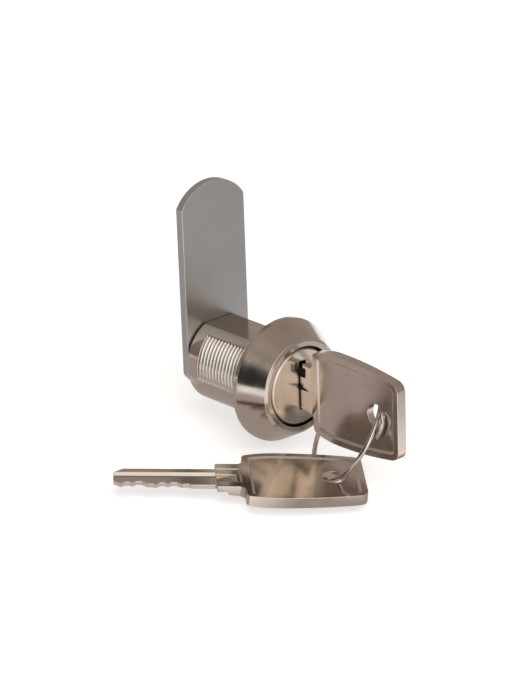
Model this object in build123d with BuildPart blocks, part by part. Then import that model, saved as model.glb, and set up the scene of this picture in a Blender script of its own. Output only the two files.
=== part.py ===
"""Mailbox cam lock with two flat keys on a wire ring.

The lock's axis is Y: the head faces -Y, the cam is at the +Y end and points up (+Z).
The origin is the centre of the head's back face, where the head seats on a panel.
All sizes are millimetres.
"""
import os
from math import cos, radians, sin, sqrt, tan

from build123d import *

# head
rim_r = 13.55
rim_land = 1.3
rim_back_bevel = 0.3
head_height = 7.1
land_width = 1.4
lip_bevel = 0.4

# barrel
barrel_r = 9.5
barrel_length = 19.2
barrel_wall = 2.85
flat_depth = 0.9
thread_depth = 0.55
thread_front = 2.0
rear_band = 3.4
thread_from = -14
thread_to = 51
end_bevel = 0.4

# plug
plug_clearance = 0.05
disc_step = 2.25
disc_recess_depth = 2.6
disc_clearance = 0.35
disc_set_back = 0.15
disc_bevel = 0.5
seat_depth = 1.2
seat_side = 0.2
seat_end = 0.5
tail_width = 7.0
tail_round = 0.6
tail_clearance = 0.05
end_play = 0.05

# stop washer in the barrel's rear recess
stop_step = 0.2
stop_thickness = 1.2
stop_tab_reach = 1.15
stop_tab_width = 3.2
stop_gap = 0.15
turn_angle = 90

# cam
cam_width = 17.5
cam_thickness = 1.9
cam_top = 39.9
cam_tail_end = 7.1
cam_end_rise = 4.8

# cam screw and its washer
screw_r = 2.5
screw_length = 5.6
screw_tip_gap = 0.25
screw_head_r = 4.5
screw_head_height = 2.6
screw_head_round = 1.6
screw_cross_length = 4.4
screw_cross_width = 0.9
screw_cross_depth = 1.5
lock_washer_r = 4.6
lock_washer_play = 0.2
lock_washer_thickness = 1.0
lock_washer_split = 0.7
tail_short = 0.15

# key
key_thickness = 2.3
bow_length = 25.1
bow_front_half = 8.8
bow_half = 10.0
bow_widest = 7.0
bow_end_half = 8.2
bow_front_round = 1.2
bow_end_round = 2.2
bow_rim = 1.3
field_depth = 0.3
field_flank_angle = 58
key_hole_r = 2.5
key_hole_from_end = 6.6
key_neck_width = 10.0
key_neck_length = 5.75
key_neck_round = 1.4
blade_width = 5.8
blade_above = 1.0
blade_below = 0.5
blade_length = 21.15
tip_length = 2.1
tip_width = 2.6
step_level = 0.4
step_edge = -1.46
groove_width = 1.0
groove_depth = 0.3
groove_offset = 0.2
blade_run_out = 4.9
step_run_out = 5.3
step_run_out_edge = -0.4
groove_run_out = 3.9
notch_width = 2.1
notch_length = 2.3
notch_depth = 0.4
key_rise = 0.3
key_tip_gap = 0.4
key_stop_gap = 0.05
bit_depths = [0.4, 1.1, 0.9, 0.4, 1.4, 1.1]
bit_floor = 1.1
bit_flank_angle = 40

# wafers and their springs
wafer_thickness = 1.2
wafer_width = 6.0
wafer_pitch = 2.4
wafer_front = 0.5
wafer_drop = 0.9
wafer_inset = 0.1
slot_clearance = 0.05
keyway_clearance = 0.1
window_below = 0.15
window_above = 0.7
lobe_width = 1.6
lobe_height = 1.2
pocket_wall = 0.33
spring_r = 0.5
spring_wire = 0.2
spring_gap = 0.05
broach_depth = 0.95
broach_front = -1.6
broach_clearance = 0.2

# retainer
retainer_thickness = 1.0
retainer_width = 5.0
retainer_length = 3.1
retainer_from_end = 1.4
retainer_reach = 0.8
retainer_pocket_depth = 3.2

# ring and the key that lies beside the lock
ring_r = 12.1
ring_wire = 1.0
ring_gap_angle = 6
ring_start = 215
ring_normal = Vector(0.748, -0.381, -0.543).normalized()
ring_towards_lock = Vector(0.029, 0.870, -0.492)
ring_key_angle = 93.4
key_2_heading = 142.0
key_2_tilt = 5.8
key_2_lean = 1.1

# sizes that follow
barrel_flat = barrel_r - flat_depth
thread_back = barrel_length - rear_band
bore_r = barrel_r - barrel_wall
disc_recess_r = bore_r + disc_step
lip_r = disc_recess_r + land_width
stop_r = bore_r + stop_step
stop_tab_r = stop_r + stop_tab_reach
broach_r = bore_r + broach_depth
tail_hole = tail_width + 2 * tail_clearance
cam_shoulder = cam_top - cam_end_rise
cam_tail_shoulder = cam_tail_end - cam_end_rise
lock_washer_bore = screw_r + lock_washer_play
plug_r = bore_r - plug_clearance
disc_r = disc_recess_r - disc_clearance
disc_back = -head_height + disc_recess_depth - end_play
face_y = -head_height + disc_set_back
stop_recess_y = barrel_length - stop_thickness - end_play
plug_end = barrel_length + end_play - stop_thickness
cam_front = plug_end + stop_thickness
cam_back = cam_front + cam_thickness
tail_end = cam_back - tail_short
screw_seat = cam_back + lock_washer_thickness
screw_tip = screw_seat - screw_length
key_stop_y = face_y + seat_depth - key_stop_gap
blade_tip_y = key_stop_y + blade_length
keyway_end = blade_tip_y + key_tip_gap
retainer_y = plug_end - retainer_from_end
wafer_ys = [wafer_front + wafer_pitch * i for i in range(len(bit_depths))]
wafer_r = plug_r - wafer_inset
lobe_edge = wafer_width / 2 + lobe_width + slot_clearance
pocket_top = sqrt((plug_r - pocket_wall) ** 2 - lobe_edge**2)
retainer_pocket_in = plug_r - retainer_pocket_depth
step_foot = step_edge + blade_above - step_level
slot_left = -blade_below - keyway_clearance
slot_right = blade_above + keyway_clearance
key_hole_x = -(key_neck_length + bow_length - key_hole_from_end)

key_1_plane = Plane((0, key_stop_y, key_rise), x_dir=(0, 1, 0), z_dir=(1, 0, 0))
key_1_hole = key_1_plane.from_local_coords(Vector(key_hole_x, 0, 0))

# the ring passes through the middle of both key holes
to_centre = (ring_towards_lock - ring_normal * ring_towards_lock.dot(ring_normal)).normalized()
ring_centre = key_1_hole + to_centre * ring_r
ring_plane = Plane(ring_centre, x_dir=-to_centre, z_dir=ring_normal)
ring_step = radians(ring_key_angle)
key_2_hole = ring_plane.from_local_coords(Vector(ring_r * cos(ring_step), ring_r * sin(ring_step), 0))
key_2_up = Vector(0, -sin(radians(key_2_tilt)), cos(radians(key_2_tilt)))
key_2_up = (key_2_up + Vector(sin(radians(key_2_lean)), 0, 0)).normalized()
key_2_level = Vector(cos(radians(key_2_heading)), sin(radians(key_2_heading)), 0)
key_2_along = (key_2_level - key_2_up * key_2_level.dot(key_2_up)).normalized()
key_2_plane = Plane(key_2_hole - key_2_along * key_hole_x, x_dir=key_2_along, z_dir=key_2_up)


def across(y):
    """Plane square to the lock's axis at y: sketch x is X, sketch y is Z, extrusions go to the front."""
    return Plane((0, y, 0), x_dir=(1, 0, 0), z_dir=(0, -1, 0))


def save(part, label):
    part.label = label
    export_step(part, f"parts/{label}.step")


def make_housing():
    """Head and barrel in one casting, bored for the plug and broached for the wafers."""
    root_r = barrel_r - thread_depth
    disc_floor = -head_height + disc_recess_depth
    with BuildPart() as housing:
        with BuildSketch(Plane.XY) as profile:
            with BuildLine():
                Polyline(
                    (lip_r, -head_height),
                    (disc_recess_r, -head_height),
                    (disc_recess_r, disc_floor),
                    (bore_r, disc_floor),
                    (bore_r, stop_recess_y),
                    (stop_r + stop_gap, stop_recess_y),
                    (stop_r + stop_gap, barrel_length),
                    (barrel_r - end_bevel, barrel_length),
                    (barrel_r, barrel_length - end_bevel),
                    (barrel_r, 0),
                    (rim_r, 0),
                    (rim_r, -rim_land),
                    close=True,
                )
            make_face()
            chamfer(profile.vertices().sort_by_distance((lip_r, -head_height))[0], lip_bevel)
            chamfer(profile.vertices().sort_by_distance((rim_r, 0))[0], rim_back_bevel)
        revolve(axis=Axis.Y)
        # on each side a stretch cut down to the thread's root
        for side in (0, 180):
            with BuildSketch(across(thread_back)):
                with BuildLine():
                    sweep_angle = thread_to - thread_from
                    start = side + 180 - thread_to
                    root = CenterArc((0, 0), root_r, start, sweep_angle)
                    clear = CenterArc((0, 0), rim_r, start, sweep_angle)
                    Line(root @ 0, clear @ 0)
                    Line(root @ 1, clear @ 1)
                make_face()
            extrude(amount=thread_back - thread_front, mode=Mode.SUBTRACT)
        # the two flats that keep the barrel from turning in its panel
        flat_cut = rim_r - barrel_flat
        for side in (1, -1):
            with Locations((0, barrel_length / 2, side * (barrel_flat + flat_cut / 2))):
                Box(2 * rim_r, barrel_length, flat_cut, mode=Mode.SUBTRACT)
        # four grooves for wafers that stand out of the plug
        with BuildSketch(across(stop_recess_y)):
            Rectangle(wafer_width + 2 * broach_clearance, 2 * broach_r)
            Rectangle(2 * broach_r, wafer_width + 2 * broach_clearance)
            Circle(bore_r, mode=Mode.SUBTRACT)
        extrude(amount=stop_recess_y - broach_front, mode=Mode.SUBTRACT)
        # the ring groove that holds the retainer
        with BuildSketch(across(retainer_y + retainer_thickness / 2 + slot_clearance)):
            Circle(broach_r)
            Circle(bore_r, mode=Mode.SUBTRACT)
        extrude(amount=retainer_thickness + 2 * slot_clearance, mode=Mode.SUBTRACT)
        # the pocket whose two ends stop the washer's tab
        tab_half = stop_tab_width / 2 + stop_gap
        with BuildSketch(across(barrel_length)):
            Circle(stop_tab_r + stop_gap)
            with BuildSketch(mode=Mode.INTERSECT):
                reach = 2 * stop_tab_r
                for edge in (turn_angle / 2, -turn_angle / 2):
                    with Locations(Rotation(0, 0, edge)):
                        Rectangle(reach, 2 * tab_half, align=(Align.MIN, Align.CENTER))
                with BuildLine():
                    corner = reach / sqrt(2)
                    Polyline((0, 0), (corner, corner), (reach, 0), (corner, -corner), close=True)
                make_face()
        extrude(amount=barrel_length - stop_recess_y, mode=Mode.SUBTRACT)
    return housing.part


def make_plug():
    """The turning plug: front disc, slotted body, tail square and tapped hole."""
    with BuildPart() as plug:
        with BuildSketch(Plane.XY):
            with BuildLine():
                Polyline(
                    (0, face_y),
                    (disc_r - disc_bevel, face_y),
                    (disc_r, face_y + disc_bevel),
                    (disc_r, disc_back),
                    (plug_r, disc_back),
                    (plug_r, plug_end),
                    (0, plug_end),
                    close=True,
                )
            make_face()
        revolve(axis=Axis.Y)
        with BuildSketch(across(tail_end)):
            RectangleRounded(tail_width, tail_width, tail_round)
        extrude(amount=tail_end - plug_end)
        # keyway with the two wards that match the blade's step and groove
        keyway_top = key_rise + blade_width / 2 + keyway_clearance
        keyway_foot = key_rise - blade_width / 2 - keyway_clearance
        ward_x = step_level + keyway_clearance
        ward_foot = key_rise + step_foot + keyway_clearance
        with BuildSketch(across(keyway_end)):
            with BuildLine():
                Polyline(
                    (slot_left, keyway_foot),
                    (slot_right, keyway_foot),
                    (slot_right, ward_foot - slot_right + ward_x),
                    (ward_x, ward_foot),
                    (ward_x, keyway_top),
                    (slot_left, keyway_top),
                    close=True,
                )
            make_face()
            with Locations((slot_left, key_rise + groove_offset)):
                Rectangle(
                    groove_depth,
                    groove_width - 2 * keyway_clearance,
                    align=(Align.MIN, Align.CENTER),
                    mode=Mode.SUBTRACT,
                )
        extrude(amount=keyway_end - face_y, mode=Mode.SUBTRACT)
        # the seat in the plug's face that the key's neck stops in
        with BuildSketch(across(face_y + seat_depth)):
            with Locations((slot_left - seat_side, key_rise)):
                Rectangle(
                    key_thickness / 2 + seat_side - slot_left + seat_side,
                    key_neck_width + 2 * seat_end,
                    align=(Align.MIN, Align.CENTER),
                )
        extrude(amount=seat_depth, mode=Mode.SUBTRACT)
        # a slot right through for each wafer, with a pocket at its side for the lobe and spring
        slot = wafer_thickness + 2 * slot_clearance
        lobe_floor = -lobe_height / 2 - wafer_drop - slot_clearance
        for y in wafer_ys:
            with BuildSketch(across(y + slot / 2)):
                Rectangle(wafer_width + 2 * slot_clearance, 2 * rim_r)
                with Locations((0, lobe_floor)):
                    Rectangle(lobe_edge, pocket_top - lobe_floor, align=(Align.MIN, Align.MIN))
            extrude(amount=slot, mode=Mode.SUBTRACT)
        # the retainer's pocket
        with BuildSketch(across(retainer_y + retainer_thickness / 2 + slot_clearance)):
            with Locations((-retainer_pocket_in, 0)):
                Rectangle(rim_r, retainer_width + 2 * slot_clearance, align=(Align.MAX, Align.CENTER))
        extrude(amount=retainer_thickness + 2 * slot_clearance, mode=Mode.SUBTRACT)
        with BuildSketch(across(tail_end)):
            Circle(screw_r)
        extrude(amount=tail_end - screw_tip + screw_tip_gap, mode=Mode.SUBTRACT)
    return plug.part


def make_wafer(y):
    """A wafer with the window for the blade and the lobe that its spring presses on."""
    blade_top = key_rise + blade_width / 2
    blade_foot = key_rise - blade_width / 2
    with BuildPart() as wafer:
        with BuildSketch(across(y + wafer_thickness / 2)):
            Circle(wafer_r)
            Rectangle(wafer_width, 2 * wafer_r, mode=Mode.INTERSECT)
            with Locations((0, -lobe_height / 2)):
                Rectangle(wafer_width / 2 + lobe_width, lobe_height, align=(Align.MIN, Align.MIN))
            with Locations((slot_left, blade_foot - window_below)):
                Rectangle(
                    slot_right - slot_left,
                    blade_top + window_above - blade_foot + window_below,
                    align=(Align.MIN, Align.MIN),
                    mode=Mode.SUBTRACT,
                )
        extrude(amount=wafer_thickness)
    return wafer.part


def make_wafer_spring(y):
    """The spring between a wafer's lobe and the roof of its pocket."""
    foot = lobe_height / 2 + spring_gap
    x = wafer_width / 2 + lobe_width / 2
    with BuildPart() as spring:
        with BuildSketch(Plane((x, y, foot))):
            Circle(spring_r + spring_wire / 2)
            Circle(spring_r - spring_wire / 2, mode=Mode.SUBTRACT)
        extrude(amount=pocket_top - spring_gap - foot)
    return spring.part


def make_retainer():
    """The blade that stands out of the plug into the barrel's ring groove."""
    reach = plug_r + retainer_reach
    with BuildPart() as retainer:
        with BuildSketch(across(retainer_y + retainer_thickness / 2)):
            Circle(reach)
            with Locations((-reach, 0)):
                Rectangle(
                    retainer_length, retainer_width, align=(Align.MIN, Align.CENTER), mode=Mode.INTERSECT
                )
        extrude(amount=retainer_thickness)
    return retainer.part


def make_retainer_spring():
    """The short spring behind the retainer."""
    back = -(plug_r + retainer_reach) + retainer_length + spring_gap
    with BuildPart() as spring:
        with BuildSketch(Plane((back, retainer_y, 0), x_dir=(0, 1, 0), z_dir=(1, 0, 0))):
            Circle(spring_r)
            Circle(spring_r - spring_wire, mode=Mode.SUBTRACT)
        extrude(amount=-retainer_pocket_in - spring_gap - back)
    return spring.part


def make_stop_washer():
    """The washer on the tail square whose tab limits the turn."""
    with BuildPart() as washer:
        with BuildSketch(across(plug_end + stop_thickness)):
            Circle(stop_r)
            with BuildSketch(mode=Mode.ADD):
                Circle(stop_tab_r)
                with Locations(Rotation(0, 0, turn_angle / 2)):
                    Rectangle(
                        2 * stop_tab_r, stop_tab_width, align=(Align.MIN, Align.CENTER), mode=Mode.INTERSECT
                    )
            RectangleRounded(tail_hole, tail_hole, tail_round, mode=Mode.SUBTRACT)
        extrude(amount=stop_thickness)
    return washer.part


def make_cam():
    """The flat strip with rounded ends that swings behind the door frame."""
    half = cam_width / 2
    with BuildPart() as cam:
        with BuildSketch(across(cam_back)):
            with BuildLine():
                ThreePointArc((-half, cam_shoulder), (0, cam_top), (half, cam_shoulder))
                Line((half, cam_shoulder), (half, -cam_tail_shoulder))
                ThreePointArc((half, -cam_tail_shoulder), (0, -cam_tail_end), (-half, -cam_tail_shoulder))
                Line((-half, -cam_tail_shoulder), (-half, cam_shoulder))
            make_face()
            RectangleRounded(tail_hole, tail_hole, tail_round, mode=Mode.SUBTRACT)
        extrude(amount=cam_thickness)
    return cam.part


def make_lock_washer():
    """Split spring washer under the screw's head."""
    with BuildPart() as washer:
        with BuildSketch(across(screw_seat)):
            Circle(lock_washer_r)
            Circle(lock_washer_bore, mode=Mode.SUBTRACT)
            Rectangle(
                2 * lock_washer_r, lock_washer_split, align=(Align.MIN, Align.CENTER), mode=Mode.SUBTRACT
            )
        extrude(amount=lock_washer_thickness)
    return washer.part


def make_cam_screw():
    """Pan head screw in the tail's tapped hole."""
    head_top = screw_seat + screw_head_height
    shank_r = screw_r - plug_clearance
    with BuildPart() as screw:
        with BuildSketch(Plane.XY):
            with BuildLine():
                Polyline(
                    (0, head_top),
                    (0, screw_tip),
                    (shank_r, screw_tip),
                    (shank_r, screw_seat),
                    (screw_head_r, screw_seat),
                    (screw_head_r, head_top),
                    close=True,
                )
            make_face()
        revolve(axis=Axis.Y)
        fillet(screw.edges().group_by(Axis.Y)[-1], screw_head_round)
        with BuildSketch(across(head_top)):
            Rectangle(screw_cross_length, screw_cross_width)
            Rectangle(screw_cross_width, screw_cross_length)
        extrude(amount=screw_cross_depth, mode=Mode.SUBTRACT)
    return screw.part


def bow_outline(inset=0):
    """The bow's face: widest near the lock, drawn in towards its far end."""
    front = -key_neck_length
    widest = front - bow_widest
    end = front - bow_length
    with BuildSketch() as bow:
        with BuildLine():
            Line((front, 0), (front, bow_front_half))
            TangentArc((widest, bow_half), (front, bow_front_half), tangent=(1, 0))
            TangentArc((widest, bow_half), (end, bow_end_half), tangent=(-1, 0))
            Line((end, bow_end_half), (end, 0))
            mirror(about=Plane.XZ)
        make_face()
        fillet(bow.vertices().group_by(Axis.X)[0], bow_end_round)
        fillet(bow.vertices().group_by(Axis.X)[-1], bow_front_round)
        if inset:
            offset(amount=-inset, mode=Mode.REPLACE)
    return bow.sketch


def ramp(plane, level, surface, length):
    """Plane that climbs from a level of the blade at the stop to the neck's face further back."""
    start = plane.from_local_coords(Vector(0, 0, level))
    end = plane.from_local_coords(Vector(-length, 0, surface))
    along = (end - start).normalized()
    outward = plane.z_dir if surface > level else -plane.z_dir
    return Plane(start, x_dir=along, z_dir=outward - along * outward.dot(along))


def make_key(plane):
    """A stamped key: bow with a raised rim, neck with its stop, and stepped blade with its cuts."""
    half = key_thickness / 2
    blade_half = blade_width / 2
    with BuildPart() as key:
        with BuildSketch(plane) as outline:
            add(bow_outline())
            Rectangle(
                key_neck_length + bow_front_round, key_neck_width, align=(Align.MAX, Align.CENTER)
            )
            for side in (1, -1):
                corner = (-key_neck_length, side * key_neck_width / 2)
                fillet(outline.vertices().sort_by_distance(corner)[0], key_neck_round)
        extrude(amount=half, both=True)
        # the blade, with one cut for each wafer
        with BuildSketch(plane.offset(-blade_below)):
            with BuildLine():
                Polyline(
                    (0, -blade_half),
                    (blade_length - tip_length, -blade_half),
                    (blade_length, -tip_width / 2),
                    (blade_length, tip_width / 2),
                    (blade_length - tip_length, blade_half),
                    (0, blade_half),
                    close=True,
                )
            make_face()
            for y, depth in zip(wafer_ys, bit_depths):
                with Locations((y - key_stop_y, blade_half)):
                    Trapezoid(
                        bit_floor + 2 * depth / tan(radians(bit_flank_angle)),
                        depth,
                        bit_flank_angle,
                        rotation=180,
                        align=(Align.CENTER, Align.MIN),
                        mode=Mode.SUBTRACT,
                    )
        extrude(amount=blade_below + blade_above)
        # the step along one side and the groove along the other
        tip = plane.from_local_coords(Vector(blade_length, 0, 0))
        with BuildSketch(Plane(tip, x_dir=plane.y_dir, z_dir=plane.x_dir)):
            with BuildLine():
                Polyline(
                    (step_foot, step_level),
                    (step_edge, blade_above),
                    (blade_width, blade_above),
                    (blade_width, step_level),
                    close=True,
                )
            make_face()
            with Locations((groove_offset, -blade_below)):
                Rectangle(groove_width, groove_depth, align=(Align.CENTER, Align.MIN))
        extrude(amount=-blade_length, mode=Mode.SUBTRACT)
        # where the cutters ran out in the neck
        with BuildSketch(plane.offset(blade_above)):
            Rectangle(blade_run_out, blade_width, align=(Align.MAX, Align.CENTER))
        extrude(amount=half - blade_above, mode=Mode.SUBTRACT)
        with BuildSketch(ramp(plane, step_level, half, step_run_out)):
            with BuildLine():
                Polyline(
                    (0, -step_foot),
                    (step_run_out, -step_run_out_edge),
                    (step_run_out, -blade_half),
                    (0, -blade_half),
                    close=True,
                )
            make_face()
        extrude(amount=half, mode=Mode.SUBTRACT)
        with BuildSketch(ramp(plane, -blade_below, -half, step_run_out)):
            Rectangle(step_run_out, 2 * key_neck_width, align=(Align.MIN, Align.CENTER))
        extrude(amount=half, mode=Mode.SUBTRACT)
        groove_floor = groove_depth - blade_below
        with BuildSketch(ramp(plane, groove_floor, -half, groove_run_out)):
            with BuildLine():
                Polyline(
                    (0, groove_offset - groove_width / 2),
                    (0, groove_offset + groove_width / 2),
                    (groove_run_out, groove_offset),
                    close=True,
                )
            make_face()
        extrude(amount=half, mode=Mode.SUBTRACT)
        with BuildSketch(plane.offset(-half)):
            with Locations((0, blade_half)):
                Rectangle(notch_length, notch_width, align=(Align.MAX, Align.MIN))
        extrude(amount=half - blade_below + notch_depth, mode=Mode.SUBTRACT)
        # the sunk field inside the bow's rim on both sides, and the hole for the ring
        for side in (1, -1):
            face = plane.from_local_coords(Vector(0, 0, side * half))
            with BuildSketch(Plane(face, x_dir=plane.x_dir, z_dir=plane.z_dir * -side)):
                add(bow_outline(bow_rim))
            extrude(amount=field_depth, taper=field_flank_angle, mode=Mode.SUBTRACT)
        with BuildSketch(plane.offset(-half)):
            with Locations((key_hole_x, 0)):
                Circle(key_hole_r)
        extrude(amount=key_thickness, mode=Mode.SUBTRACT)
    return key.part


def make_key_ring():
    """One turn of wire through both keys, its blunt ends almost meeting."""
    half_turn = (360 - ring_gap_angle) / 2
    with BuildPart() as ring:
        with BuildLine(ring_plane) as path:
            CenterArc((0, 0), ring_r, ring_start, half_turn)
            CenterArc((0, 0), ring_r, ring_start + half_turn, half_turn)
        with BuildSketch(Plane(path.line @ 0, z_dir=path.line % 0)):
            Circle(ring_wire / 2)
        sweep()
    return ring.part


os.makedirs("parts", exist_ok=True)

save(make_housing(), "housing")
save(make_plug(), "plug")
for number, y in enumerate(wafer_ys, start=1):
    save(make_wafer(y), f"wafer_{number}")
    save(make_wafer_spring(y), f"wafer_spring_{number}")
save(make_retainer(), "retainer")
save(make_retainer_spring(), "retainer_spring")
save(make_stop_washer(), "stop_washer")
save(make_cam(), "cam")
save(make_lock_washer(), "lock_washer")
save(make_cam_screw(), "cam_screw")
save(make_key(key_1_plane), "key_1")
save(make_key(key_2_plane), "key_2")
save(make_key_ring(), "key_ring")
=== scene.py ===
"""Studio scene of the mailbox cam lock with two flat keys on a wire ring, in metres in the CAD frame."""
import math

import bmesh
import bpy
from mathutils import Matrix, Vector


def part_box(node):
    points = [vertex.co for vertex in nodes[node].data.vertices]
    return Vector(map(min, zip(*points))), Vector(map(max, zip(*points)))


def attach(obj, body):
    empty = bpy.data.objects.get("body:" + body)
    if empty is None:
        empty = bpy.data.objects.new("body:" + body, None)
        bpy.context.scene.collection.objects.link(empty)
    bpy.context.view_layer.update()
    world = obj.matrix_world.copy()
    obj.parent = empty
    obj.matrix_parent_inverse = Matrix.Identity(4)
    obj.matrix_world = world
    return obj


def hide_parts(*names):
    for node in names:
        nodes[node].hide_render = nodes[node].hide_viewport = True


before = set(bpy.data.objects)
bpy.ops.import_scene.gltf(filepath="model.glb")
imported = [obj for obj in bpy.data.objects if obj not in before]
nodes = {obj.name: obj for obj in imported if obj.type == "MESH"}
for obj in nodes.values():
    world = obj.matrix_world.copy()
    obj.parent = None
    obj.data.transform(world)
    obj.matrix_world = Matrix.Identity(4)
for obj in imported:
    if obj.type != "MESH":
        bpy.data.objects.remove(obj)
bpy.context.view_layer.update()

scene = bpy.context.scene
scene.view_settings.view_transform = "Standard"
MM = 0.001

# the camera stands where the photograph was taken from
CAMERA_SPOT = Vector((-0.3765, -0.4173, 0.2295))
CAMERA_RIGHT = Vector((0.7383, -0.6737, -0.0338))
CAMERA_FORWARD = Vector((0.6179, 0.6955, -0.3668))
CAMERA_LENS = 149.6


def make_camera():
    data = bpy.data.cameras.new("camera")
    cam = bpy.data.objects.new("camera", data)
    scene.collection.objects.link(cam)
    forward = CAMERA_FORWARD.normalized()
    up = CAMERA_RIGHT.normalized().cross(forward).normalized()
    right = forward.cross(up)
    turn = Matrix((right, up, -forward)).transposed().to_4x4()
    cam.matrix_world = Matrix.Translation(CAMERA_SPOT) @ turn
    data.lens = CAMERA_LENS
    data.sensor_width = 36
    data.sensor_fit = "AUTO"
    data.clip_start = 0.01
    data.clip_end = 20
    scene.camera = cam


make_camera()


class Tree:
    """A small wrapper that adds shader nodes and links sockets."""

    def __init__(self, block):
        block.use_nodes = True
        self.tree = block.node_tree
        self.tree.nodes.clear()

    def add(self, kind, props=None, **inputs):
        """Adds a node; an input is given by its name, or as i and its number where names repeat."""
        node = self.tree.nodes.new("ShaderNode" + kind)
        for key, value in (props or {}).items():
            setattr(node, key, value)
        for key, value in inputs.items():
            slot = int(key[1:]) if key[0] == "i" and key[1:].isdigit() else key.replace("_", " ")
            self.set(node.inputs[slot], value)
        return node

    def set(self, socket, value):
        if isinstance(value, bpy.types.NodeSocket):
            self.tree.links.new(value, socket)
        elif isinstance(value, bpy.types.Node):
            self.tree.links.new(value.outputs[0], socket)
        else:
            socket.default_value = value

    def place(self, scale, stretch=(1, 1, 1), seed=0.0):
        where = self.add("TexCoord").outputs["Object"]
        shift = (seed, seed * 0.7, seed * 1.3)
        return self.add("Mapping", Vector=where, Scale=[scale * s for s in stretch], Location=shift)

    def noise(self, scale, detail=3.0, rough=0.55, stretch=(1, 1, 1), seed=0.0, warp=0.0):
        spread = self.place(scale, stretch, seed)
        node = self.add("TexNoise", Vector=spread, Scale=1.0, Detail=detail, Roughness=rough, Distortion=warp)
        return node.outputs["Fac"]

    def ramp(self, value, low, high, out_low=0.0, out_high=1.0):
        node = self.add("MapRange", {"clamp": True}, Value=value, i1=low, i2=high, i3=out_low, i4=out_high)
        return node.outputs[0]

    def math(self, kind, a, b):
        return self.add("Math", {"operation": kind}, i0=a, i1=b).outputs[0]

    def dot(self, a, b):
        return self.add("VectorMath", {"operation": "DOT_PRODUCT"}, i0=a, i1=b).outputs["Value"]

    def blend(self, fac, a, b):
        mix = self.add("Mix", {"data_type": "RGBA"})
        self.set(mix.inputs["Factor"], fac)
        self.set(mix.inputs[6], a)
        self.set(mix.inputs[7], b)
        return mix.outputs[2]

    def bump(self, height, distance, normal):
        return self.add("Bump", Height=height, Strength=1.0, Distance=distance, Normal=normal).outputs[0]


def rgba(r, g, b):
    return (r, g, b, 1.0)


# marks on the metal: where a rounded edge counts as rubbed and is lightened as a painted highlight, the
# painted shade in corners, and the raw cut edges
WEAR_AND_HIGHLIGHT_LOW = 0.90
WEAR_AND_HIGHLIGHT_HIGH = 0.995
PAINTED_SHADE_TINT = rgba(0.030, 0.024, 0.018)
PAINTED_SHADE_REACH = 0.9 * MM
PAINTED_SHADE_DULL = 0.35
BORDER_HIGHLIGHT_TINT = rgba(0.80, 0.74, 0.68)
BORDER_DULL = 0.20
RAW_DULL = 0.18
RAW_START = 0.2 * MM
SCRATCH_SCALE = 420.0
SCRATCH_THIN = 0.006
SCRATCH_DEPTH = -1.0e-6
SWELL_SCALE = 110.0


def edge_mask(t, radius):
    """1 on sharp outer edges and 0 on flat faces, with the normal that rounds those edges."""
    soft = t.add("Bevel", {"samples": 6}, Radius=radius).outputs[0]
    true = t.add("NewGeometry").outputs["Normal"]
    return t.ramp(t.dot(soft, true), WEAR_AND_HIGHLIGHT_HIGH, WEAR_AND_HIGHLIGHT_LOW), soft


def hairlines(t, scale, along, seed, thin):
    """Sparse fine scratches: the zero lines of a noise drawn out along one direction, in patches."""
    lines = t.noise(scale, 1.0, 0.4, along, seed, 0.4)
    near = t.math("ABSOLUTE", t.math("SUBTRACT", lines, 0.5), 0.0)
    line = t.ramp(near, thin, 0.0)
    patch = t.ramp(t.noise(scale * 0.35, 2.0, 0.5, seed=seed + 4.0), 0.50, 0.62)
    return t.math("MULTIPLY", line, patch)


def flat_wear_and_highlight(t, tint, gloss, flat, along, reach, raw):
    """A flat part's own wear and a painted highlight: a duller rim round a sunk panel, lightened on its slope
    as a painted highlight, and raw cut edges past a point on it.
    """
    where = t.add("TexCoord")
    facing = t.math("ABSOLUTE", t.dot(where.outputs["Normal"], flat), 0.0)
    dull_highlit_border = t.math("MULTIPLY", t.ramp(facing, 0.97, 0.93), t.ramp(facing, 0.70, 0.78))
    # painted highlight: the sloped rim is lightened
    tint = t.blend(t.math("MULTIPLY", dull_highlit_border, 0.8), tint, BORDER_HIGHLIGHT_TINT)
    gloss = t.math("ADD", gloss, t.math("MULTIPLY", dull_highlit_border, BORDER_DULL))
    reached = t.dot(where.outputs["Object"], along)
    bare = t.math("MULTIPLY", t.ramp(facing, 0.45, 0.20), t.ramp(reached, reach, reach + RAW_START))
    tint = t.blend(bare, tint, rgba(*raw))
    return tint, t.math("ADD", gloss, t.math("MULTIPLY", bare, RAW_DULL))


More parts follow.
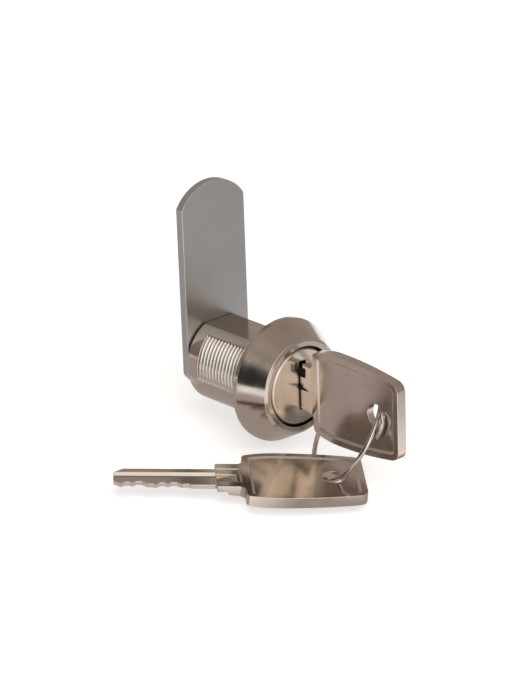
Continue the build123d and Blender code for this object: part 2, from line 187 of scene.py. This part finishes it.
def metal(name, colour, dark, wear_and_highlight_tint, rough, spread, grain=2600.0, grain_depth=1.2e-6, stretch=(1, 1, 1),
          mottle=220.0, edge=0.16 * MM, smear=0.06, scratch=0.0, scratch_axis=(1, 1, 1), painted_shade=0.0, wave=0.0,
          wear_and_highlight_share=0.7, flat=None, reach=(0.20, 0.80)):
    """A plated metal: mottled tint, uneven gloss, smears, fine grain, hairline scratches, edges lightened by
    wear and by a painted highlight, and painted shade in corners.
    """
    mat = bpy.data.materials.new(name)
    t = Tree(mat)
    cloud = t.noise(mottle, 4.0, 0.6, seed=3.1)
    tint = t.blend(t.ramp(cloud, 0.3, 0.7), rgba(*dark), rgba(*colour))
    wear_and_highlight_mask, soft = edge_mask(t, edge)
    fine = t.noise(grain, 3.0, 0.6, stretch, seed=1.7)
    gloss = t.ramp(fine, 0.25, 0.75, rough - spread, rough + spread)
    film = t.ramp(t.noise(mottle * 0.5, 3.0, 0.5, seed=8.2, warp=0.8), 0.45, 0.65, 0.0, smear)
    gloss = t.math("ADD", gloss, film)
    if flat:
        tint, gloss = flat_wear_and_highlight(t, tint, gloss, *flat)
    # edges lightened: partly wear, partly a painted highlight along every edge
    tint = t.blend(t.math("MULTIPLY", wear_and_highlight_mask, wear_and_highlight_share), tint, rgba(*wear_and_highlight_tint))
    normal = soft
    if wave:
        swell = t.noise(SWELL_SCALE, 1.0, 0.4, seed=6.4)
        normal = t.bump(swell, wave, normal)
    normal = t.bump(fine, grain_depth, normal)
    if scratch:
        marks = hairlines(t, SCRATCH_SCALE, scratch_axis, 5.5, SCRATCH_THIN)
        gloss = t.math("ADD", gloss, t.math("MULTIPLY", marks, scratch))
        normal = t.bump(marks, SCRATCH_DEPTH, normal)
    # painted shade: the metal is darkened and dulled where ambient occlusion finds corners, creases and gaps
    if painted_shade:
        shade = t.add("AmbientOcclusion", {"samples": 8}, Distance=PAINTED_SHADE_REACH).outputs["AO"]
        hole = t.ramp(shade, reach[0], reach[1], painted_shade, 0.0)
        tint = t.blend(hole, tint, PAINTED_SHADE_TINT)
        gloss = t.math("ADD", gloss, t.math("MULTIPLY", hole, PAINTED_SHADE_DULL))
    shader = t.add("BsdfPrincipled", Base_Color=tint, Metallic=1.0, Roughness=gloss, Normal=normal)
    t.add("OutputMaterial", Surface=shader)
    return mat


KEY_RAW = (0.90, 0.88, 0.86)
CAM_RAW = (0.56, 0.62, 0.63)

head_nickel = metal("head_nickel", (0.66, 0.595, 0.530), (0.60, 0.535, 0.470), (0.80, 0.76, 0.71), 0.13, 0.03,
                    scratch=0.10, scratch_axis=(1.0, 0.14, 1.0), painted_shade=0.9, wave=6e-6)
plug_nickel = metal("plug_nickel", (0.83, 0.765, 0.675), (0.77, 0.70, 0.61), (0.90, 0.86, 0.80), 0.17, 0.03,
                    scratch=0.08, scratch_axis=(0.15, 1.0, 1.0), painted_shade=1.0, wave=5e-6, reach=(0.42, 0.90))
key_nickel = metal("key_nickel", (0.67, 0.595, 0.535), (0.61, 0.535, 0.47), (0.95, 0.92, 0.89), 0.15, 0.04,
                   scratch=0.14, scratch_axis=(1.0, 0.12, 1.0), painted_shade=0.7, wave=8e-6, wear_and_highlight_share=1.0,
                   flat=((1, 0, 0), (0, 1, 0), -0.0056, KEY_RAW))
flat_key_nickel = metal("flat_key_nickel", (0.68, 0.605, 0.54), (0.62, 0.545, 0.475), (0.95, 0.92, 0.89),
                        0.15, 0.04, scratch=0.14, scratch_axis=(0.9, 0.14, 1.0), painted_shade=0.6, wave=8e-6,
                        wear_and_highlight_share=1.0, flat=((0.02, -0.10, 0.995), (-0.788, 0.616, 0), 0.0157, KEY_RAW))
# the head's nickel made lighter on the thread as a painted highlight on its crests, with painted shade in its
# roots
thread_highlit_nickel = metal("thread_highlit_nickel", (0.88, 0.83, 0.77), (0.80, 0.74, 0.67), (0.96, 0.94, 0.91), 0.15, 0.04,
                      edge=0.08 * MM, painted_shade=1.0, reach=(0.46, 0.92))
# near-black metal for the notch plates: painted shadow
notch_shadow = metal("notch_shadow", (0.030, 0.022, 0.016), (0.018, 0.013, 0.010), (0.06, 0.05, 0.04), 0.55, 0.10,
              edge=0.05 * MM)
cam_zinc = metal("cam_zinc", (0.450, 0.440, 0.430), (0.405, 0.400, 0.395), (0.93, 0.93, 0.92), 0.35, 0.05,
                 grain=2200.0, stretch=(1.0, 1.0, 0.12), mottle=110.0, scratch=0.10,
                 scratch_axis=(1.0, 1.0, 0.12), painted_shade=0.8, wave=7e-6, edge=0.24 * MM, wear_and_highlight_share=0.9,
                 reach=(0.15, 0.65), flat=((0, 1, 0), (0, 0, 1), -1.0, CAM_RAW))
washer_zinc = metal("washer_zinc", (0.50, 0.49, 0.47), (0.43, 0.42, 0.41), (0.66, 0.65, 0.63), 0.30, 0.05,
                    painted_shade=0.5)
screw_zinc = metal("screw_zinc", (0.56, 0.545, 0.52), (0.48, 0.47, 0.45), (0.72, 0.70, 0.67), 0.24, 0.05,
                   painted_shade=0.6)
black_steel = metal("black_steel", (0.12, 0.12, 0.12), (0.08, 0.08, 0.08), (0.32, 0.31, 0.30), 0.36, 0.06,
                    painted_shade=0.4)
ring_steel = metal("ring_steel", (0.62, 0.60, 0.575), (0.52, 0.50, 0.475), (0.78, 0.76, 0.74), 0.18, 0.05,
                   grain=4000.0, painted_shade=0.4)
wafer_brass = metal("wafer_brass", (0.76, 0.60, 0.30), (0.66, 0.50, 0.22), (0.88, 0.76, 0.48), 0.26, 0.05,
                    painted_shade=0.5)
spring_steel = metal("spring_steel", (0.50, 0.50, 0.51), (0.42, 0.42, 0.43), (0.68, 0.68, 0.68), 0.24, 0.05)

WAFERS = range(1, 7)
finish = {"housing": head_nickel, "plug": plug_nickel, "key_1": key_nickel, "key_2": flat_key_nickel,
          "cam": cam_zinc, "stop_washer": washer_zinc, "lock_washer": black_steel, "cam_screw": screw_zinc,
          "key_ring": ring_steel, "retainer": wafer_brass, "retainer_spring": spring_steel}
for number in WAFERS:
    finish[f"wafer_{number}"] = wafer_brass
    finish[f"wafer_spring_{number}"] = spring_steel

for name, node in nodes.items():
    if not node.material_slots:
        node.data.materials.append(finish[name])
    for place in node.material_slots:
        place.material = finish[name]


def piece_from(bm, name, material, body, smooth=True):
    """Turns a finished bmesh into a piece that rides on a CAD body."""
    bmesh.ops.recalc_face_normals(bm, faces=bm.faces)
    mesh = bpy.data.meshes.new(name)
    bm.to_mesh(mesh)
    bm.free()
    piece = bpy.data.objects.new(name, mesh)
    scene.collection.objects.link(piece)
    mesh.materials.append(material)
    for face in mesh.polygons:
        face.use_smooth = smooth
    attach(piece, body)
    return piece


# thread ridges that fill the two sunk stretches of the barrel, in millimetres and degrees
ROOT_R = 8.95
CREST_R = 9.5
GROOVE = 0.46
PITCH = 1.0
THREAD_FRONT = 2.0
THREAD_BACK = 15.8
THREAD_FROM = -14.0
THREAD_TO = 51.0
FADE_LOW = 13.0
FADE_HIGH = 2.0
FADE_ENDS = 0.35
SUNK = 0.05
STEPS_PER_PITCH = 14
STEPS_ROUND = 44
ROOT_SHARE = 0.96
FLANK_SHARE = 0.84


def ridge(phase):
    """Height of a worn thread form, 0 in the root to 1 on the crest, at a phase of 0 to 1."""
    away = abs(phase - 0.5) * 2
    return min(1.0, max(0.0, (ROOT_SHARE - away) / FLANK_SHARE))


def make_thread(name, start):
    """One sector of the thread: grooves that die out at its lower end and stop short at its upper end."""
    steps_y = round((THREAD_BACK - THREAD_FRONT) / PITCH * STEPS_PER_PITCH)
    bm = bmesh.new()

    def spot(r, y, angle):
        return bm.verts.new((r * MM * math.cos(angle), y * MM, r * MM * math.sin(angle)))

    outer = []
    inner = []
    for i in range(STEPS_ROUND + 1):
        lift = THREAD_FROM + (THREAD_TO - THREAD_FROM) * i / STEPS_ROUND
        angle = math.radians(start - lift)
        depth = min(1.0, (lift - THREAD_FROM) / FADE_LOW, (THREAD_TO - lift) / FADE_HIGH)
        row_out = []
        row_in = {}
        for j in range(steps_y + 1):
            y = THREAD_FRONT + (THREAD_BACK - THREAD_FRONT) * j / steps_y
            ends = min(1.0, (y - THREAD_FRONT) / FADE_ENDS, (THREAD_BACK - y) / FADE_ENDS)
            cut = 1.0 - ridge((y / PITCH + angle / (2 * math.pi)) % 1.0)
            row_out.append(spot(CREST_R - GROOVE * cut * max(0.0, depth) * max(0.0, ends), y, angle))
            if i in (0, STEPS_ROUND) or j in (0, steps_y):
                row_in[j] = spot(ROOT_R - SUNK, y, angle)
        outer.append(row_out)
        inner.append(row_in)
    for i in range(STEPS_ROUND):
        for j in range(steps_y):
            bm.faces.new((outer[i][j], outer[i + 1][j], outer[i + 1][j + 1], outer[i][j + 1]))
        for j in (0, steps_y):
            bm.faces.new((outer[i][j], outer[i + 1][j], inner[i + 1][j], inner[i][j]))
        bm.faces.new(list(inner[i].values()) + list(inner[i + 1].values())[::-1])
    for j in range(steps_y):
        for i in (0, STEPS_ROUND):
            bm.faces.new((outer[i][j], outer[i][j + 1], inner[i][j + 1], inner[i][j]))
    piece_from(bm, name, thread_highlit_nickel, "housing")


make_thread("thread_left", 180.0)
make_thread("thread_right", 0.0)


def tube(points, radius, sides):
    """A round wire along a list of points in metres, its ring of points carried along without twist."""
    bm = bmesh.new()
    rings = []
    last = None
    for k, point in enumerate(points):
        ahead = (points[min(k + 1, len(points) - 1)] - points[max(k - 1, 0)]).normalized()
        if last is None:
            side = ahead.orthogonal().normalized()
        else:
            side = (last - ahead * last.dot(ahead)).normalized()
        last = side
        over = ahead.cross(side)
        rings.append([bm.verts.new(point + (side * math.cos(a) + over * math.sin(a)) * radius)
                      for a in (2 * math.pi * s / sides for s in range(sides))])
    for a, b in zip(rings, rings[1:]):
        for s in range(sides):
            bm.faces.new((a[s], a[(s + 1) % sides], b[(s + 1) % sides], b[s]))
    bm.faces.new(rings[0][::-1])
    bm.faces.new(rings[-1])
    return bm


SPRING_WIRE_R = 0.10 * MM
COIL_STEPS = 18
COIL_SIDES = 6
ALONG_X = 0
ALONG_Z = 2


def make_coil(node, axis, turns):
    """A wound spring in the room of the CAD's sleeve."""
    low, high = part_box(node)
    middle = (low + high) / 2
    across = [k for k in range(3) if k != axis]
    coil_r = (high[across[0]] - low[across[0]]) / 2 - SPRING_WIRE_R
    length = high[axis] - low[axis] - 2 * SPRING_WIRE_R
    points = []
    steps = int(turns * COIL_STEPS)
    for k in range(steps + 1):
        a = 2 * math.pi * turns * k / steps
        p = Vector((0, 0, 0))
        p[across[0]] = middle[across[0]] + coil_r * math.cos(a)
        p[across[1]] = middle[across[1]] + coil_r * math.sin(a)
        p[axis] = low[axis] + SPRING_WIRE_R + length * k / steps
        points.append(p)
    wound = tube(points, SPRING_WIRE_R, COIL_SIDES)
    coil = piece_from(wound, "coil_" + node, spring_steel, "plug")
    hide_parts(node)


for number in WAFERS:
    make_coil(f"wafer_spring_{number}", ALONG_Z, 7)
make_coil("retainer_spring", ALONG_X, 2)


def through(knots, count):
    """Points along a smooth line through a list of knots."""
    ends = [knots[0] * 2 - knots[1]] + knots + [knots[-1] * 2 - knots[-2]]
    points = []
    for a, b, c, d in zip(ends, ends[1:], ends[2:], ends[3:]):
        for k in range(count):
            s = k / count
            points.append((b * 2 + (c - a) * s + (a * 2 - b * 5 + c * 4 - d) * s * s
                           + (b * 3 - a - c * 3 + d) * s ** 3) * 0.5)
    return points + [knots[-1]]


RING_WIRE_R = 0.5 * MM
RING_SIDES = 14
# in millimetres, from behind key 1, through its hole and down its bow
RING_END = ((4.2, -27.7, 4.35), (2.9, -29.0, 3.5), (1.2, -30.5, 2.1), (0.0, -31.2, 1.75), (-0.7, -31.65, 1.5),
            (-1.35, -32.15, 1.0), (-1.55, -32.55, 0.3), (-1.8, -32.65, -0.8), (-1.9, -32.1, -2.4),
            (-2.0, -31.14, -4.13))


def make_ring_end():
    """The ring's second end: it comes through key 1's hole beside the first and lies against the bow."""
    points = through([Vector(knot) * MM for knot in RING_END], 6)
    piece_from(tube(points, RING_WIRE_R, RING_SIDES), "ring_end", ring_steel, "ring")


make_ring_end()

# the notches on the side of key 1's neck, as outlines in Y and Z on that side, in millimetres, drawn as dark
# plates of painted shadow
NECK_SIDE = -1.15
NECK_NOTCH = ((-7.0, 4.82), (-8.42, 4.99), (-9.33, 4.86), (-9.26, 2.91), (-8.49, 2.81), (-7.0, 2.9))
NECK_WEDGE = ((-7.0, 0.85), (-7.33, 0.78), (-9.0, 0.46), (-10.36, -0.02), (-8.52, -0.08), (-7.0, -0.15))
INLAY_SUNK = 0.02
INLAY_RIM = 0.05
INLAY_LIFT = 0.015


def make_shadow_inlay(name, outline):
    """A thin dark plate of painted shadow that marks a notch, with its rim sloped down onto the metal."""
    bm = bmesh.new()
    up = Vector((-1, 0, 0))
    corners = [Vector((NECK_SIDE, y, z)) for y, z in outline]
    middle = sum(corners, Vector((0, 0, 0))) / len(corners)
    low = [bm.verts.new((c - up * INLAY_SUNK) * MM) for c in corners]
    top = [bm.verts.new((c + (middle - c).normalized() * INLAY_RIM + up * INLAY_LIFT) * MM) for c in corners]
    bm.faces.new(top)
    bm.faces.new(low[::-1])
    for k in range(len(corners)):
        n = (k + 1) % len(corners)
        bm.faces.new((low[k], low[n], top[n], top[k]))
    piece = piece_from(bm, name, notch_shadow, "key", smooth=False)
    piece.visible_glossy = False


make_shadow_inlay("neck_notch", NECK_NOTCH)
make_shadow_inlay("neck_wedge", NECK_WEDGE)

# the floor leans by the angle that the second key lies at
FLOOR_TILT = math.radians(6)
FLOOR_HALF = 1.5
FLOOR_GLOW = 0.56
floor_up = Vector((0, -math.sin(FLOOR_TILT), math.cos(FLOOR_TILT)))
floor_side = Vector((1, 0, 0))
floor_ahead = floor_up.cross(floor_side)


def lowest(names):
    low = 1.0
    for name in names:
        for vertex in nodes[name].data.vertices:
            low = min(low, vertex.co.dot(floor_up))
    return low


floor_level = lowest(("housing", "key_2", "key_ring"))


def sheet(name, x, y, lift):
    """A rectangle on the floor, from its two X and two Y limits in metres, lifted by a small height."""
    bm = bmesh.new()
    base = floor_up * (floor_level + lift)
    corners = ((x[0], y[0]), (x[1], y[0]), (x[1], y[1]), (x[0], y[1]))
    bm.faces.new([bm.verts.new(base + floor_side * a + floor_ahead * b) for a, b in corners])
    mesh = bpy.data.meshes.new(name)
    bm.to_mesh(mesh)
    bm.free()
    obj = bpy.data.objects.new(name, mesh)
    scene.collection.objects.link(obj)
    return obj


def make_reflection_sheet(name, x, y, colour, soft, lift):
    """A glowing sheet on the floor beside the set, soft at its rim: a painted reflection that the metal sees
    and the camera doesn't.
    """
    obj = sheet(name, x, y, lift)
    mat = bpy.data.materials.new(name)
    t = Tree(mat)
    glow = t.add("Emission", Color=rgba(*colour), Strength=1.0)
    where = t.add("TexCoord").outputs["Object"]
    part = t.add("SeparateXYZ", Vector=where)
    inside = None
    for axis, limits in (("X", x), ("Y", y)):
        for limit, sign in ((limits[0], 1), (limits[1], -1)):
            edge = t.ramp(part.outputs[axis], limit, limit + sign * soft)
            inside = edge if inside is None else t.math("MULTIPLY", inside, edge)
    clear = t.add("BsdfTransparent")
    both = t.add("MixShader", i0=inside, i1=clear.outputs[0], i2=glow.outputs[0])
    t.add("OutputMaterial", Surface=both)
    obj.data.materials.append(mat)
    obj.visible_camera = False
    obj.visible_shadow = False
    obj.visible_diffuse = False
    obj.visible_transmission = False


def make_floor():
    """Pale paper that keeps the set's shadow; a glow seen by the camera and the metal lifts it to white."""
    obj = sheet("floor", (-FLOOR_HALF, FLOOR_HALF), (-FLOOR_HALF, FLOOR_HALF), 0.0)
    mat = bpy.data.materials.new("floor_paper")
    t = Tree(mat)
    paper = t.blend(t.noise(30.0, 3.0), rgba(0.80, 0.80, 0.80), rgba(0.83, 0.83, 0.83))
    matt = t.add("BsdfDiffuse", Color=paper)
    path = t.add("LightPath")
    seen = t.math("MAXIMUM", path.outputs["Is Camera Ray"], path.outputs["Is Glossy Ray"])
    seen = t.math("MAXIMUM", seen, path.outputs["Is Transmission Ray"])
    glow = t.add("Emission", Color=rgba(1, 1, 1), Strength=t.math("MULTIPLY", seen, FLOOR_GLOW))
    both = t.add("AddShader", i0=matt.outputs[0], i1=glow.outputs[0])
    t.add("OutputMaterial", Surface=both)
    obj.data.materials.append(mat)


def heading(azimuth, height):
    a = math.radians(azimuth)
    h = math.radians(height)
    return (math.cos(a) * math.cos(h), math.sin(a) * math.cos(h), math.sin(h))


# soft boxes: azimuth, height, outer and inner half angle in degrees, and level
SOFT_BOXES = ((255, 2, 18, 11, 0.9), (252, 50, 24, 17, 1.2), (235, 12, 22, 15, 1.5), (224, 32, 21, 15, 1.7))
ROOM_LOW = rgba(0.40, 0.36, 0.34)
ROOM_HIGH = rgba(0.36, 0.30, 0.265)
DUSK = rgba(0.20, 0.175, 0.16)
DARK = rgba(0.035, 0.030, 0.027)


def make_world():
    """Soft grey studio: a little warmer overhead, dark low on the left, soft boxes round the camera."""
    world = bpy.data.worlds.new("studio")
    scene.world = world
    t = Tree(world)
    way = t.add("TexCoord").outputs["Generated"]
    high = t.add("SeparateXYZ", Vector=way).outputs["Z"]

    def near(azimuth, height, outer, inner):
        dot = t.dot(way, heading(azimuth, height))
        return t.ramp(dot, math.cos(math.radians(outer)), math.cos(math.radians(inner)))

    room = t.blend(t.ramp(high, 0.15, 0.75), ROOM_LOW, ROOM_HIGH)
    dusk = t.math("MULTIPLY", near(185, 0, 72, 50), t.ramp(high, 0.78, 0.58))
    room = t.blend(dusk, room, DUSK)
    dark = t.math("MULTIPLY", near(180, 0, 46, 34), t.ramp(high, 0.75, 0.67))
    room = t.blend(dark, room, DARK)
    for azimuth, height, outer, inner, level in SOFT_BOXES:
        room = t.blend(near(azimuth, height, outer, inner), room, rgba(level, level * 0.97, level * 0.93))
    path = t.add("LightPath")
    seen = t.math("MAXIMUM", path.outputs["Is Camera Ray"], path.outputs["Is Transmission Ray"])
    back = t.add("Background", Color=t.blend(seen, room, rgba(1, 1, 1)), Strength=1.0)
    t.add("OutputWorld", Surface=back)


def area(name, spot, side, watts):
    """A square lamp that faces the set and isn't mirrored in the metal."""
    data = bpy.data.lights.new(name, "AREA")
    data.shape = "RECTANGLE"
    data.size = side
    data.size_y = side
    data.energy = watts
    lamp = bpy.data.objects.new(name, data)
    lamp.location = spot
    lamp.rotation_euler = (-Vector(spot)).to_track_quat("-Z", "Y").to_euler()
    lamp.visible_glossy = False
    scene.collection.objects.link(lamp)


make_floor()
# glowing sheets seen only in the metal: painted reflections, greyer where the metal should mirror less light;
# the two darker sheets under and in front of the set are painted shadow, and the last is a painted light
# patch
make_reflection_sheet("card_back_left", (-0.30, -0.013), (-0.020, 0.30), (0.50, 0.425, 0.415), 0.004, 0.0004)
make_reflection_sheet("card_front_right", (0.022, 0.40), (-0.40, 0.0), (0.60, 0.585, 0.57), 0.03, 0.0004)
make_reflection_sheet("shadow_card_under", (-0.034, 0.032), (-0.048, 0.036), (0.46, 0.40, 0.38), 0.012, 0.0006)
make_reflection_sheet("shadow_card_dark", (0.006, 0.026), (-0.036, -0.014), (0.13, 0.11, 0.10), 0.004, 0.0008)
make_reflection_sheet("card_bright", (-0.075, -0.033), (-0.075, -0.037), (0.86, 0.79, 0.68), 0.004, 0.0010)
make_world()
area("key_light", (-0.30, -0.35, 0.85), 0.7, 2.0)
area("fill_light", (0.60, -0.30, 0.60), 0.6, 0.8)
